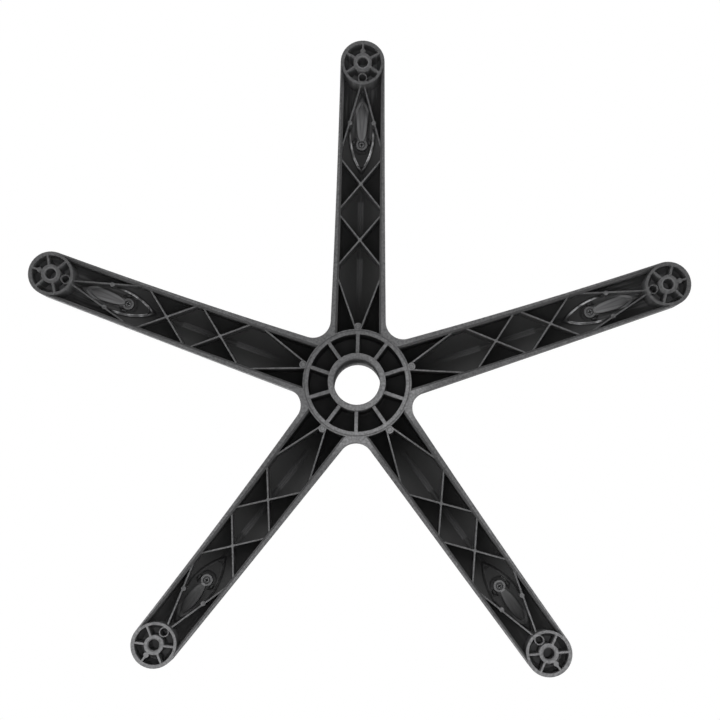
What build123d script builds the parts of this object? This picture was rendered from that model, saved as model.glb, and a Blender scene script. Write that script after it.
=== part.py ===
"""Five-arm office chair base, moulded in one piece, with a foot pad and its screw in each arm.

The origin is on the axis of the gas lift's bore, at the lower end of the hub tube.
+Z is up, and arm 1 points along +Y. Every arm is modelled along +X and then turned to its place.
"""

import os
from math import atan, cos, degrees, radians, sin, tan

from build123d import *

# Overall layout, in millimetres
ARM_COUNT = 5
FIRST_ARM_ANGLE = 90.0
SOCKET_CIRCLE_RADIUS = 327.5
SOCKET_DROP = 31.0          # from the hub tube's lower end down to the caster socket mouths
MOULD_DRAFT = 1.0           # degrees

# Hub
TUBE_HEIGHT = 69.0
TUBE_RADIUS = 29.7
BORE_RADIUS = 23.6
BORE_LAND = 15.0
BORE_TOP_RADIUS = 24.95
BORE_LEAD_IN = 0.8
COLLAR_RADIUS = 31.5
COLLAR_FOOT_RADIUS = 6.0
RING_INNER_RADIUS = 50.5
RING_WALL = 3.9
RING_LAND = 1.8
RING_PROUD = 1.0
HUB_RIB_COUNT = 10
HUB_RIB_THICKNESS = 3.6
HUB_ROOF = 4.2
CONE_SHOULDER_RADIUS = 60.0
CONE_SHOULDER_HEIGHT = 47.0
CONE_FOOT_RADIUS = 100.0
CONE_FOOT_HEIGHT = 29.0

# Arms, seen from above
ARM_AXIS_HALF_WIDTH = 31.0  # where an arm's sides, drawn on inwards, pass the hub's axis
ARM_TIP_RADIUS = 22.6
ARM_ROOT_RADIUS = 43.5      # the arms start here, inside the hub
CORNER_RADIUS = 17.4
HUB_SHOULDER_RADIUS = 7.0

# Arms, seen from the side
RIM_HEIGHT = 12.0
ARCH_START = 80.0
TOP_ROOT = (50.0, 51.0)
TOP_TIP_HEIGHT = -2.0
TOP_TIP_OVERHANG = 2.5       # from the caster socket's axis to the crest's lower end
TOP_BULGE = 5.0              # rise of the crest's middle over a straight line between its ends
CROWN_RISE = 7.5
CROWN_HALF_WIDTH = 34.0
ARM_ROOF = 3.2
SHOULDER_RADIUS = 7.0
SHOULDER_FIRST_ANGLE = 22.0
SHOULDER_START_ANGLE = 28.0 # steepness of the shoulder's arc where it leaves the crown
SHOULDER_END_ANGLE = 70.0   # steepness of the shoulder's arc where it meets the side wall
SHOULDER_LAST_ANGLE = 78.0
CAP_RADIUS = 21.5
CAP_LAST_ANGLE = 60.0

# Channel under each arm
CHANNEL_ROOT_HALF_WIDTH = 22.7
CHANNEL_TIP_HALF_WIDTH = 19.3
RIM_BEVEL_WIDTH = 2.0
RIM_BEVEL_DEPTH = 3.0
RIM_SPOT_OFFSET = -7.25      # from halfway along the arch to where a rim's edge is looked for
RIM_SPOT_MARGIN = 5.0
RIB_THICKNESS = 1.6
RIB_RECESS_ROOT = 3.2
RIB_RECESS_TIP = 7.0
RIB_ARCH_OVERHANG = 6.5      # from the caster socket's axis to the end of the ribs' arch
ROOT_PAD_REACH = 58.7
ROOT_PAD_RADIUS = 4.1
ROOT_V_END = 110.0
INNER_CROSS_REACH = 150.3
OUTER_CROSS_REACH = 208.4
CROSS_ANGLE = 40.0
CROSS_PAD_RADIUS = 1.9
TIP_V_START = (20.8, 2.1)     # inwards from the caster socket's axis, and across from the middle
TIP_V_PAD = (57.3, 12.4)
TIP_V_END = 81.5
TIP_V_PAD_RADIUS = 2.4

# Caster socket at each tip
SOCKET_RADIUS = 5.5
SOCKET_DEPTH = 24.0
SOCKET_MOUTH_RADIUS = 6.7
SOCKET_TUBE_RADIUS = 9.4
POCKET_RADIUS = 19.0
BOSS_WALL = 2.7
POCKET_ROOF = 4.6
POCKET_STEP_RADIUS = 15.0
POCKET_STEP_DEPTH = 17.0
BOSS_RIB_ANGLES = (0.0, 60.0, 120.0, 240.0, 300.0)
BOSS_RIB_THICKNESS = 1.9
BOSS_RING_RADIUS = 4.7
BOSS_RING_WALL = 0.9
BOSS_RING_OFFSET = 15.0
EJECTOR_PAD_RADIUS = 2.6
EJECTOR_PAD_OVERLAP = 0.3

# Foot pad, its well in the arm and its screw
PAD_TO_SOCKET = 65.0         # along the arm, from the pad's middle to the caster socket's axis
PAD_HALF_LENGTH = 31.0
PAD_HALF_WIDTH = 10.0
PAD_END_RADIUS = 3.0
PAD_DEPTH = 3.4
PAD_PROUD = 1.2
PAD_CLEARANCE = 0.15
WELL_WALL = 2.2
WELL_FLOOR = 3.0
TOP_SKIN = 0.4              # the well's walls end this far below the arm's top
TONGUE_HALF_WIDTH = 6.2
TONGUE_DEPTH = 4.2
TONGUE_SINK = 1.5           # the tongue's ends lie this far down in the well's floor
TONGUE_TO_SOCKET = 33.5
SCREW_TO_SOCKET = 76.0
SCREW_BOSS_RADIUS = 6.0
SCREW_BOSS_PROUD = 1.6
WINDOW_WIDTH = 4.0
SCREW_HEAD_RADIUS = 3.4
SCREW_HEAD_HEIGHT = 2.2
SCREW_HEAD_SIDE = 1.2       # height of the head's straight side
SCREW_HEAD_FLAT_RADIUS = 2.3
SCREW_HEAD_SINK = 0.6
SCREW_HEAD_CLEARANCE = 0.4
SCREW_SHANK_RADIUS = 1.75
SCREW_GRIP = 3.2            # length of the shank inside the pad
SCREW_CROSS = (3.6, 0.9, 1.3)
SHANK_CLEARANCE = 0.1
HOOK_LENGTH = 3.8
HOOK_THICKNESS = 1.6
HOOK_CATCH = 1.4
HOOK_DROP = 1.3
HOOK_OFFSET = -0.3          # from the screw's axis to the hooks, along the arm
HOOK_CLEARANCE = 0.22        # from a hook's outer side to the well's wall
HOOK_WINDOW_CLEARANCE = 0.3  # from a hook's other sides to the window's edges


os.makedirs("parts", exist_ok=True)

MOUTH_PLANE = Plane.XY.offset(-SOCKET_DROP)
ARM_1_PLANE = Plane(origin=(0, 0, 0), x_dir=(0, 1, 0), z_dir=(1, 0, 0))
PRISM_HEIGHT = SOCKET_DROP + TUBE_HEIGHT + 10.0
PAD_CENTRE_REACH = SOCKET_CIRCLE_RADIUS - PAD_TO_SOCKET
SCREW_REACH = SOCKET_CIRCLE_RADIUS - SCREW_TO_SOCKET
TONGUE_END_REACH = SOCKET_CIRCLE_RADIUS - TONGUE_TO_SOCKET
WINDOW_RADIUS = SCREW_BOSS_RADIUS + WINDOW_WIDTH
TOP_TIP = (SOCKET_CIRCLE_RADIUS + TOP_TIP_OVERHANG, TOP_TIP_HEIGHT)
TOP_MIDDLE = ((TOP_ROOT[0] + TOP_TIP[0]) / 2, (TOP_ROOT[1] + TOP_TIP[1]) / 2 + TOP_BULGE)


def upright(part):
    """The walls of a straight prism, which are still square to its base."""
    return part.faces().filter_by(lambda face: abs(face.normal_at().Z) < 0.01)


def reach(point):
    """Distance from the hub's axis."""
    return (point.X**2 + point.Y**2) ** 0.5


def shoulder_edges(part, lowest, nearest, furthest):
    """The upper edges of the outer walls, above a height and between two distances from the axis."""
    found = ShapeList()
    for wall in part.faces().filter_by(lambda face: abs(face.normal_at().Z) < 0.1):
        for edge in wall.edges():
            level = abs(edge.tangent_at(0.5).Z) < 0.5
            middle = edge @ 0.5
            if level and middle.Z > lowest and nearest < reach(middle) < furthest:
                if not any(edge.is_same(other) for other in found):
                    found.append(edge)
    return found


# The outline of one arm, seen from above
with BuildSketch() as arm_outline:
    with BuildLine():
        Polyline(
            (SOCKET_CIRCLE_RADIUS, ARM_TIP_RADIUS),
            (0, ARM_AXIS_HALF_WIDTH),
            (0, -ARM_AXIS_HALF_WIDTH),
            (SOCKET_CIRCLE_RADIUS, -ARM_TIP_RADIUS),
        )
        ThreePointArc(
            (SOCKET_CIRCLE_RADIUS, ARM_TIP_RADIUS),
            (SOCKET_CIRCLE_RADIUS + ARM_TIP_RADIUS, 0),
            (SOCKET_CIRCLE_RADIUS, -ARM_TIP_RADIUS),
        )
    make_face()

# The top of an arm is a length of a large crowned wheel, turned about a level axis across the arm
top_arc = ThreePointArc(TOP_ROOT, TOP_MIDDLE, TOP_TIP)
WHEEL_X = top_arc.arc_center.X
WHEEL_Z = top_arc.arc_center.Y
WHEEL_SWEEP = 18.0


def top_height(x):
    """Height of an arm's crest at a distance from the hub's axis."""
    return WHEEL_Z + (top_arc.radius**2 - (x - WHEEL_X) ** 2) ** 0.5


def crowned_wheel(lowering):
    """Everything under a crowned arm top that is lowered by the given amount."""
    peak = WHEEL_Z + top_arc.radius - lowering
    side = peak - CROWN_RISE
    deep = peak - PRISM_HEIGHT
    section_plane = Plane(origin=(WHEEL_X, 0, 0), x_dir=(0, 1, 0), z_dir=(1, 0, 0))
    with BuildPart() as wheel:
        with BuildSketch(section_plane):
            with BuildLine():
                Polyline(
                    (-CROWN_HALF_WIDTH, side),
                    (-CROWN_HALF_WIDTH, deep),
                    (CROWN_HALF_WIDTH, deep),
                    (CROWN_HALF_WIDTH, side),
                )
                ThreePointArc((-CROWN_HALF_WIDTH, side), (0, peak), (CROWN_HALF_WIDTH, side))
            make_face()
        revolve(axis=Axis((WHEEL_X, 0, WHEEL_Z), (0, 1, 0)), revolution_arc=WHEEL_SWEEP)
    return wheel.part


cone_fall = (CONE_SHOULDER_HEIGHT - CONE_FOOT_HEIGHT) / (CONE_FOOT_RADIUS - CONE_SHOULDER_RADIUS)


def cone_height(radius):
    """Height of the hub cone at a distance from its axis."""
    return CONE_SHOULDER_HEIGHT + (CONE_SHOULDER_RADIUS - radius) * cone_fall


# Hub cone, with the concave corners between the arms
with BuildPart() as hub_cone:
    with BuildSketch(MOUTH_PLANE) as star:
        with PolarLocations(0, ARM_COUNT, FIRST_ARM_ANGLE):
            add(arm_outline.sketch)
        corners = star.vertices().filter_by(lambda vertex: reach(vertex) < SOCKET_CIRCLE_RADIUS / 2)
        fillet(corners, CORNER_RADIUS)
    extrude(amount=PRISM_HEIGHT)
    draft(upright(hub_cone), MOUTH_PLANE, MOULD_DRAFT)
    with BuildSketch(ARM_1_PLANE) as hub_profile:
        with BuildLine():
            Polyline(
                (CONE_FOOT_RADIUS, CONE_FOOT_HEIGHT),
                (CONE_FOOT_RADIUS, -SOCKET_DROP),
                (0, -SOCKET_DROP),
                (0, TUBE_HEIGHT),
                (COLLAR_RADIUS, TUBE_HEIGHT),
                (COLLAR_RADIUS, cone_height(COLLAR_RADIUS)),
                close=True,
            )
        make_face()
        foot = hub_profile.vertices().sort_by_distance((0, COLLAR_RADIUS, cone_height(COLLAR_RADIUS)))[0]
        fillet(foot, COLLAR_FOOT_RADIUS)
    revolve(axis=Axis.Z, mode=Mode.INTERSECT)
    nearest = COLLAR_RADIUS + COLLAR_FOOT_RADIUS + 1
    furthest = CONE_SHOULDER_RADIUS + CORNER_RADIUS / 2
    fillet(shoulder_edges(hub_cone, CONE_FOOT_HEIGHT, nearest, furthest), HUB_SHOULDER_RADIUS)

side_taper = (ARM_AXIS_HALF_WIDTH - ARM_TIP_RADIUS) / SOCKET_CIRCLE_RADIUS


def wall_half_width(x, z):
    """Half an arm's outer width at a distance from the hub's axis and a height."""
    return ARM_AXIS_HALF_WIDTH - x * side_taper - (z + SOCKET_DROP) * tan(radians(MOULD_DRAFT))


def shoulder_point(x):
    """The top of the shoulder's arc, at a distance from the hub's axis, and half the arm's width there."""
    half_width = wall_half_width(x, top_height(x) - SHOULDER_RADIUS)
    start = radians(SHOULDER_START_ANGLE)
    join = half_width - SHOULDER_RADIUS * (sin(radians(SHOULDER_END_ANGLE)) - sin(start))
    crown_fall = crown_radius - (crown_radius**2 - join**2) ** 0.5
    return top_height(x) - crown_fall + SHOULDER_RADIUS * (1 - cos(start)), half_width


crown_radius = (CROWN_HALF_WIDTH**2 + CROWN_RISE**2) / (2 * CROWN_RISE)
shoulder_reaches = (TOP_ROOT[0], TOP_MIDDLE[0], TOP_TIP[0])
shoulder_arc = ThreePointArc(*[(x, shoulder_point(x)[0]) for x in shoulder_reaches])
root_half_width = shoulder_point(TOP_ROOT[0])[1]
tip_half_width = shoulder_point(TOP_TIP[0])[1]
SHOULDER_YAW = degrees(atan((root_half_width - tip_half_width) / (TOP_TIP[0] - TOP_ROOT[0])))
SHOULDER_OFFSET = (root_half_width + TOP_ROOT[0] * tan(radians(SHOULDER_YAW))) * cos(radians(SHOULDER_YAW))


def shoulder_wheel(side):
    """Everything under one rounded shoulder of an arm, which turns with the arm's tapering side."""
    outer = shoulder_arc.radius
    bend = SHOULDER_OFFSET - SHOULDER_RADIUS * sin(radians(SHOULDER_END_ANGLE))
    first = radians(SHOULDER_FIRST_ANGLE)
    last = radians(SHOULDER_LAST_ANGLE)
    start = (bend + SHOULDER_RADIUS * sin(first), outer - SHOULDER_RADIUS * (1 - cos(first)))
    corner = (bend + SHOULDER_RADIUS * sin(last), outer - SHOULDER_RADIUS * (1 - cos(last)))
    spread = (PRISM_HEIGHT - (outer - corner[1])) / tan(last)
    far_side = -2 * CROWN_HALF_WIDTH
    level_plane = Plane(origin=(0, 0, 0), x_dir=(0, 1, 0), z_dir=(1, 0, 0))
    with BuildPart() as wheel:
        with BuildSketch(level_plane):
            with BuildLine():
                Polyline(
                    (corner[0], corner[1]),
                    (corner[0] + spread, outer - PRISM_HEIGHT),
                    (far_side, outer - PRISM_HEIGHT),
                    (far_side, start[1] + (start[0] - far_side) * tan(first)),
                    start,
                )
                TangentArc(start, corner, tangent=(cos(first), -sin(first)))
            make_face()
        revolve(axis=Axis.Y, revolution_arc=WHEEL_SWEEP)
    wheel_place = Location((shoulder_arc.arc_center.X, 0, shoulder_arc.arc_center.Y))
    placed = Location((0, 0, 0), (0, 0, -SHOULDER_YAW)) * wheel_place * wheel.part
    return placed if side > 0 else placed.mirror(Plane.XZ)


# The rounded end of an arm's top, square to the slope of its crest
cap_fall = top_height(SOCKET_CIRCLE_RADIUS) - top_height(SOCKET_CIRCLE_RADIUS + ARM_TIP_RADIUS)
cap_slope = cap_fall / ARM_TIP_RADIUS
cap_angle = radians(CAP_LAST_ANGLE)
cap_bend = CAP_RADIUS - SHOULDER_RADIUS * sin(cap_angle)
cap_spread = PRISM_HEIGHT / tan(cap_angle)
cap_axis = Vector(cap_slope, 0, 1).normalized()
cap_top = Vector(SOCKET_CIRCLE_RADIUS, 0, top_height(SOCKET_CIRCLE_RADIUS))
CAP_PLANE = Plane(origin=cap_top, x_dir=(0, 1, 0), z_dir=cap_axis.cross(Vector(0, 1, 0)) * -1)
with BuildPart() as tip_cap:
    with BuildSketch(CAP_PLANE):
        with BuildLine():
            Polyline(
                (CAP_RADIUS, -SHOULDER_RADIUS * (1 - cos(cap_angle))),
                (CAP_RADIUS + cap_spread, -SHOULDER_RADIUS * (1 - cos(cap_angle)) - PRISM_HEIGHT),
                (0, -SHOULDER_RADIUS * (1 - cos(cap_angle)) - PRISM_HEIGHT),
                (0, 0),
                (cap_bend, 0),
            )
            TangentArc((cap_bend, 0), (CAP_RADIUS, -SHOULDER_RADIUS * (1 - cos(cap_angle))), tangent=(1, 0))
        make_face()
    revolve(axis=Axis(cap_top, cap_axis))
    with BuildSketch(MOUTH_PLANE):
        Rectangle(SOCKET_CIRCLE_RADIUS, 3 * CROWN_HALF_WIDTH, align=(Align.MIN, Align.CENTER))
    extrude(amount=PRISM_HEIGHT)

# One solid arm
with BuildPart() as arm:
    with BuildSketch(MOUTH_PLANE):
        add(arm_outline.sketch)
    extrude(amount=PRISM_HEIGHT)
    draft(upright(arm), MOUTH_PLANE, MOULD_DRAFT)
    add(crowned_wheel(0), mode=Mode.INTERSECT)
    add(shoulder_wheel(1), mode=Mode.INTERSECT)
    add(shoulder_wheel(-1), mode=Mode.INTERSECT)
    add(tip_cap.part, mode=Mode.INTERSECT)
    with BuildSketch(MOUTH_PLANE):
        Circle(ARM_ROOT_RADIUS)
    extrude(amount=PRISM_HEIGHT, mode=Mode.SUBTRACT)

RIM_TANGENT = (1, 0)
RING_OUTER_RADIUS = RING_INNER_RADIUS + RING_WALL + RING_LAND
BELOW = -2 * SOCKET_DROP

# The arch under an arm, from the hub's flat underside to the caster boss
with BuildPart() as arch:
    with BuildSketch(Plane.XZ):
        with BuildLine():
            Polyline(
                (SOCKET_CIRCLE_RADIUS, -SOCKET_DROP),
                (SOCKET_CIRCLE_RADIUS, BELOW),
                (RING_OUTER_RADIUS, BELOW),
                (RING_OUTER_RADIUS, RIM_HEIGHT),
                (ARCH_START, RIM_HEIGHT),
            )
            TangentArc(
                (ARCH_START, RIM_HEIGHT),
                (SOCKET_CIRCLE_RADIUS, -SOCKET_DROP),
                tangent=RIM_TANGENT,
            )
        make_face()
    extrude(amount=CROWN_HALF_WIDTH, both=True)

# What lies under the hub: the space below its tube and its ring
with BuildPart() as hub_underside:
    with BuildSketch(ARM_1_PLANE):
        with BuildLine():
            Polyline(
                (ARCH_START, RIM_HEIGHT),
                (ARCH_START, BELOW),
                (0, BELOW),
                (0, 0),
                (TUBE_RADIUS, 0),
                (TUBE_RADIUS, RIM_HEIGHT - RING_PROUD),
                (RING_INNER_RADIUS + RING_WALL, RIM_HEIGHT - RING_PROUD),
                (RING_INNER_RADIUS + RING_WALL, RIM_HEIGHT),
                close=True,
            )
        make_face()
    revolve(axis=Axis.Z)

# What lies under the ribs' lower edges, which stand back from the rims
rib_arch_end = SOCKET_CIRCLE_RADIUS + RIB_ARCH_OVERHANG
with BuildPart() as under_ribs:
    with BuildSketch(Plane.XZ):
        with BuildLine():
            Polyline(
                (rib_arch_end, -SOCKET_DROP + RIB_RECESS_TIP),
                (rib_arch_end, BELOW),
                (0, BELOW),
                (0, RIM_HEIGHT + RIB_RECESS_ROOT),
                (ARCH_START, RIM_HEIGHT + RIB_RECESS_ROOT),
            )
            TangentArc(
                (ARCH_START, RIM_HEIGHT + RIB_RECESS_ROOT),
                (rib_arch_end, -SOCKET_DROP + RIB_RECESS_TIP),
                tangent=RIM_TANGENT,
            )
        make_face()
    extrude(amount=CROWN_HALF_WIDTH, both=True)

channel_length = SOCKET_CIRCLE_RADIUS - RING_OUTER_RADIUS
channel_slope = (CHANNEL_ROOT_HALF_WIDTH - CHANNEL_TIP_HALF_WIDTH) / channel_length


def channel_half_width(x):
    """Half the clear width between the side walls, at a distance from the hub's axis."""
    return CHANNEL_TIP_HALF_WIDTH + (SOCKET_CIRCLE_RADIUS - x) * channel_slope


boss_radius = POCKET_RADIUS + BOSS_WALL

# The room between an arm's side walls, before its ends and ribs are taken out of it
with BuildPart() as channel_room:
    with BuildSketch(MOUTH_PLANE) as channel_sides:
        with BuildLine():
            Polyline(
                (0, channel_half_width(0)),
                (SOCKET_CIRCLE_RADIUS, CHANNEL_TIP_HALF_WIDTH),
                (SOCKET_CIRCLE_RADIUS, -CHANNEL_TIP_HALF_WIDTH),
                (0, -channel_half_width(0)),
                close=True,
            )
        make_face()
    extrude(amount=PRISM_HEIGHT)
    draft(upright(channel_room), MOUTH_PLANE, MOULD_DRAFT)

with BuildSketch(MOUTH_PLANE) as channel_outline:
    add(channel_sides.sketch)
    Circle(RING_OUTER_RADIUS, mode=Mode.SUBTRACT)
    with Locations((SOCKET_CIRCLE_RADIUS, 0)):
        Circle(boss_radius, mode=Mode.SUBTRACT)
    with Locations((ROOT_PAD_REACH, 0)):
        Circle(ROOT_PAD_RADIUS, mode=Mode.SUBTRACT)

with BuildPart() as channel_mouth:
    add(channel_outline.sketch)
    extrude(amount=PRISM_HEIGHT)
    add(channel_room.part, mode=Mode.INTERSECT)
    add(under_ribs.part, mode=Mode.INTERSECT)

CROSS_ARM_LENGTH = 1.15 * CHANNEL_ROOT_HALF_WIDTH / sin(radians(CROSS_ANGLE))
tip_v_end = SOCKET_CIRCLE_RADIUS - TIP_V_END

with BuildSketch(MOUTH_PLANE) as cell_outlines:
    add(channel_outline.sketch)
    for side in (-1, 1):
        with BuildLine():
            Line(
                (ROOT_PAD_REACH, side * (ROOT_PAD_RADIUS - RIB_THICKNESS / 2)),
                (ROOT_V_END, side * channel_half_width(ROOT_V_END)),
            )
        trace(line_width=RIB_THICKNESS, mode=Mode.SUBTRACT)
        with BuildLine():
            Line(
                (SOCKET_CIRCLE_RADIUS - TIP_V_START[0], side * TIP_V_START[1]),
                (tip_v_end, side * channel_half_width(tip_v_end)),
            )
        trace(line_width=RIB_THICKNESS, mode=Mode.SUBTRACT)
        for cross in (INNER_CROSS_REACH, OUTER_CROSS_REACH):
            with BuildLine():
                PolarLine((cross, 0), CROSS_ARM_LENGTH, side * CROSS_ANGLE)
                PolarLine((cross, 0), CROSS_ARM_LENGTH, 180 + side * CROSS_ANGLE)
            trace(line_width=RIB_THICKNESS, mode=Mode.SUBTRACT)
    with Locations((INNER_CROSS_REACH, 0), (OUTER_CROSS_REACH, 0)):
        Circle(CROSS_PAD_RADIUS, mode=Mode.SUBTRACT)
    with Locations(*[(SOCKET_CIRCLE_RADIUS - TIP_V_PAD[0], side * TIP_V_PAD[1]) for side in (-1, 1)]):
        Circle(TIP_V_PAD_RADIUS, mode=Mode.SUBTRACT)

with BuildPart() as cells:
    add(cell_outlines.sketch)
    extrude(amount=PRISM_HEIGHT)
    add(channel_room.part, mode=Mode.INTERSECT)
    add(crowned_wheel(ARM_ROOF), mode=Mode.INTERSECT)

# Pockets of the hub, between its tube, its ring and its ribs
with BuildPart() as hub_pockets:
    with BuildSketch(MOUTH_PLANE):
        Circle(RING_INNER_RADIUS)
        Circle(TUBE_RADIUS, mode=Mode.SUBTRACT)
        with PolarLocations(0, HUB_RIB_COUNT, FIRST_ARM_ANGLE):
            with Locations((RING_INNER_RADIUS / 2, 0)):
                Rectangle(RING_INNER_RADIUS, HUB_RIB_THICKNESS, mode=Mode.SUBTRACT)
    extrude(amount=PRISM_HEIGHT)
    with BuildSketch(ARM_1_PLANE):
        with BuildLine():
            Polyline(
                (CONE_SHOULDER_RADIUS, cone_height(CONE_SHOULDER_RADIUS) - HUB_ROOF),
                (CONE_SHOULDER_RADIUS, -SOCKET_DROP),
                (0, -SOCKET_DROP),
                (0, cone_height(COLLAR_RADIUS) - HUB_ROOF),
                (COLLAR_RADIUS, cone_height(COLLAR_RADIUS) - HUB_ROOF),
                close=True,
            )
        make_face()
    revolve(axis=Axis.Z, mode=Mode.INTERSECT)

# The gas lift's bore: a short straight land at its lower end, then a taper that opens upwards
with BuildPart() as bore:
    with BuildSketch(ARM_1_PLANE):
        with BuildLine():
            Polyline(
                (0, 0),
                (BORE_RADIUS + BORE_LEAD_IN, 0),
                (BORE_RADIUS, BORE_LEAD_IN),
                (BORE_RADIUS, BORE_LAND),
                (BORE_TOP_RADIUS, TUBE_HEIGHT - BORE_LEAD_IN),
                (BORE_TOP_RADIUS + BORE_LEAD_IN, TUBE_HEIGHT),
                (0, TUBE_HEIGHT),
                close=True,
            )
        make_face()
    revolve(axis=Axis.Z)

pocket_roof = top_height(SOCKET_CIRCLE_RADIUS) - POCKET_ROOF

# Pockets of a caster boss, round its socket tube
with BuildPart() as boss_pockets:
    with BuildSketch(MOUTH_PLANE):
        with Locations((SOCKET_CIRCLE_RADIUS, 0)):
            Circle(POCKET_RADIUS)
            Circle(SOCKET_TUBE_RADIUS, mode=Mode.SUBTRACT)
        for angle in BOSS_RIB_ANGLES:
            with BuildLine():
                PolarLine((SOCKET_CIRCLE_RADIUS, 0), POCKET_RADIUS + 1, angle)
            trace(line_width=BOSS_RIB_THICKNESS, mode=Mode.SUBTRACT)
        ejector_offset = SOCKET_TUBE_RADIUS + EJECTOR_PAD_RADIUS - EJECTOR_PAD_OVERLAP
        with Locations((SOCKET_CIRCLE_RADIUS + ejector_offset, 0)):
            Circle(EJECTOR_PAD_RADIUS, mode=Mode.SUBTRACT)
        with Locations((SOCKET_CIRCLE_RADIUS - BOSS_RING_OFFSET, 0)):
            Circle(BOSS_RING_RADIUS, mode=Mode.SUBTRACT)
            Circle(BOSS_RING_RADIUS - BOSS_RING_WALL)
    extrude(amount=PRISM_HEIGHT)
    with BuildSketch(Plane(origin=(SOCKET_CIRCLE_RADIUS, 0, 0), x_dir=(-1, 0, 0), z_dir=(0, 1, 0))):
        with BuildLine():
            Polyline(
                (0, -SOCKET_DROP),
                (POCKET_RADIUS + 2, -SOCKET_DROP),
                (POCKET_RADIUS, -SOCKET_DROP + POCKET_STEP_DEPTH),
                (POCKET_STEP_RADIUS, pocket_roof),
                (0, pocket_roof),
                close=True,
            )
        make_face()
    revolve(axis=Axis((SOCKET_CIRCLE_RADIUS, 0, 0), (0, 0, 1)), mode=Mode.INTERSECT)
    with BuildSketch(Plane(origin=(SOCKET_CIRCLE_RADIUS, 0, 0), x_dir=(-1, 0, 0), z_dir=(0, 1, 0))):
        with BuildLine():
            Polyline(
                (0, -SOCKET_DROP),
                (SOCKET_MOUTH_RADIUS, -SOCKET_DROP),
                (SOCKET_RADIUS, -SOCKET_DROP + SOCKET_MOUTH_RADIUS - SOCKET_RADIUS),
                (SOCKET_RADIUS, -SOCKET_DROP + SOCKET_DEPTH),
                (0, -SOCKET_DROP + SOCKET_DEPTH),
                close=True,
            )
        make_face()
    revolve(axis=Axis((SOCKET_CIRCLE_RADIUS, 0, 0), (0, 0, 1)))

# The flat floor of the well slopes along the arm, under its crest
slope_start = Vector(PAD_CENTRE_REACH - 1, 0, top_height(PAD_CENTRE_REACH - 1) - PAD_DEPTH)
slope_end = Vector(PAD_CENTRE_REACH + 1, 0, top_height(PAD_CENTRE_REACH + 1) - PAD_DEPTH)
FLOOR_PLANE = Plane(
    (slope_start + slope_end) / 2,
    x_dir=slope_end - slope_start,
    z_dir=(slope_end - slope_start).cross(Vector(0, 1, 0)),
)
UNDER_FLOOR_PLANE = FLOOR_PLANE.offset(-WELL_FLOOR)


def height_on(plane, x):
    """Height of a sloping plane above a point on an arm's centre line."""
    return plane.origin.Z + (x - plane.origin.X) * plane.x_dir.Z / plane.x_dir.X


# Heights at the screw: the well's floor, the screw boss's end and the head's seat
well_floor_top = height_on(FLOOR_PLANE, SCREW_REACH)
well_floor_under = height_on(UNDER_FLOOR_PLANE, SCREW_REACH)
screw_boss_end = well_floor_under - SCREW_BOSS_PROUD
screw_seat = screw_boss_end + SCREW_HEAD_SINK + SCREW_HEAD_HEIGHT


def pad_side_radius(length, width, end):
    """Radius of a pad's two side arcs, from its half length, half width and end radius."""
    return ((length - end) ** 2 + width**2 - end**2) / (2 * (width - end))


def seat_half_width(x):
    """Half the width of the pad's seat, at a distance from the hub's axis."""
    side = pad_side_radius(PAD_HALF_LENGTH, PAD_HALF_WIDTH, PAD_END_RADIUS)
    return PAD_HALF_WIDTH - side + (side**2 - (x - PAD_CENTRE_REACH) ** 2) ** 0.5


def pad_outline(margin):
    """The outline of a foot pad as a face, made larger by a margin all round."""
    length = PAD_HALF_LENGTH + margin
    width = PAD_HALF_WIDTH + margin
    end = PAD_END_RADIUS + margin
    side = pad_side_radius(length, width, end)
    join_x = side * (length - end) / (side - end)
    join_y = width - side + side * (side - width) / (side - end)
    with BuildSketch(Plane((PAD_CENTRE_REACH, 0, 0))) as outline:
        with BuildLine():
            ThreePointArc((-join_x, join_y), (0, width), (join_x, join_y))
            ThreePointArc((join_x, join_y), (length, 0), (join_x, -join_y))
            ThreePointArc((join_x, -join_y), (0, -width), (-join_x, -join_y))
            ThreePointArc((-join_x, -join_y), (-length, 0), (-join_x, join_y))
        make_face()
    return outline.sketch


# The tongue under the well's floor, boat-shaped, from the screw boss towards the tip
tongue_middle = (SCREW_REACH + TONGUE_END_REACH) / 2
with BuildPart() as tongue:
    with BuildSketch(Plane.XZ):
        with BuildLine():
            tongue_start = (SCREW_REACH, height_on(FLOOR_PLANE, SCREW_REACH) - TONGUE_SINK)
            tongue_end = (TONGUE_END_REACH, height_on(FLOOR_PLANE, TONGUE_END_REACH) - TONGUE_SINK)
            keel = height_on(UNDER_FLOOR_PLANE, tongue_middle) - TONGUE_DEPTH
            ThreePointArc(tongue_start, (tongue_middle, keel), tongue_end)
            Line(tongue_end, tongue_start)
        make_face()
    extrude(amount=TONGUE_HALF_WIDTH, both=True)
    with BuildSketch(MOUTH_PLANE):
        with BuildLine():
            for side in (-1, 1):
                ThreePointArc(
                    (SCREW_REACH, 0),
                    (tongue_middle, side * TONGUE_HALF_WIDTH),
                    (TONGUE_END_REACH, 0),
                )
        make_face()
    extrude(amount=PRISM_HEIGHT, mode=Mode.INTERSECT)

# The well that stands down into the arm's channel, with the tongue and the screw boss
with BuildPart() as well:
    with BuildSketch(MOUTH_PLANE):
        add(pad_outline(WELL_WALL))
    extrude(amount=PRISM_HEIGHT)
    split(bisect_by=UNDER_FLOOR_PLANE, keep=Keep.TOP)
    add(tongue.part)
    with BuildSketch(Plane.XY.offset(screw_boss_end)):
        with Locations((SCREW_REACH, 0)):
            Circle(SCREW_BOSS_RADIUS)
    extrude(amount=well_floor_top - screw_boss_end)
    add(crowned_wheel(TOP_SKIN), mode=Mode.INTERSECT)

# The hooks of the foot pad stand beside the screw, just inside the well's walls
hook_start = SCREW_REACH + HOOK_OFFSET
hook_outer = seat_half_width(hook_start) - HOOK_CLEARANCE
hook_inner = hook_outer - HOOK_THICKNESS

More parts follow.
